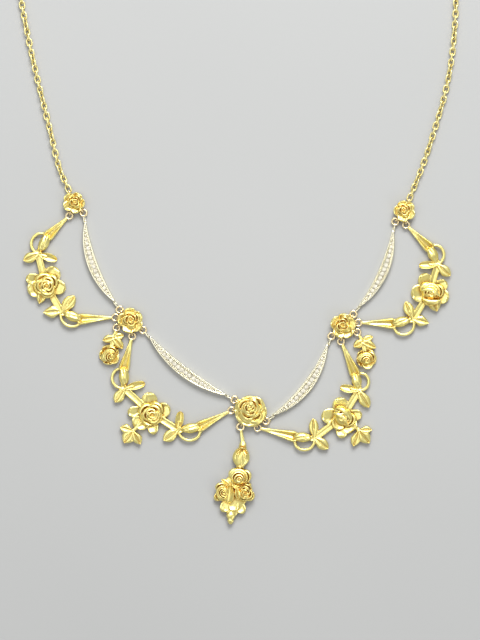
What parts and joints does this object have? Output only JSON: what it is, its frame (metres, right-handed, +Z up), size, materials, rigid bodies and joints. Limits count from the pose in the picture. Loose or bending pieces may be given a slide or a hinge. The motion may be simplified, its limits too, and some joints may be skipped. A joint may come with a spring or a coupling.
{
  "type": "festoon necklace",
  "caption": "Gold festoon necklace lying flat: rose garlands and slim crescent bars of cut stones between rosettes, with a rose pendant, small rose drops and a cable chain.",
  "frame": {"origin": "middle of the outline, on the surface that the necklace lies on", "axes": "+Z up from the surface, towards the roses' faces; +Y from the pendant towards the clasp; +X to the right as seen from above"},
  "size_m": [0.1108, 0.1846, 0.0033],
  "materials": {
    "yellow_gold": "matt bloomed cast gold, polished on the raised edges",
    "chain_gold": "polished gold wire",
    "white_metal": "platinum-topped gold, polished rims round a matt channel",
    "cut_stone": "clear cut stones"
  },
  "bodies": {
    "root": {"centre_rose": "yellow_gold", "left_rose": "yellow_gold", "right_rose": "yellow_gold", "top_left_rose": "yellow_gold", "top_right_rose": "yellow_gold", "outer_left_garland": "yellow_gold", "inner_left_garland": "yellow_gold", "inner_right_garland": "yellow_gold", "outer_right_garland": "yellow_gold", "upper_left_bar": "white_metal", "lower_left_bar": "white_metal", "lower_right_bar": "white_metal", "upper_right_bar": "white_metal", "upper_left_stones": "cut_stone", "lower_left_stones": "cut_stone", "lower_right_stones": "cut_stone", "upper_right_stones": "cut_stone", "left_drop": "yellow_gold", "right_drop": "yellow_gold", "centre_pendant": "yellow_gold", "chain_left": "chain_gold", "chain_right": "chain_gold", "clasp": "yellow_gold"}
  },
  "joints": []
}
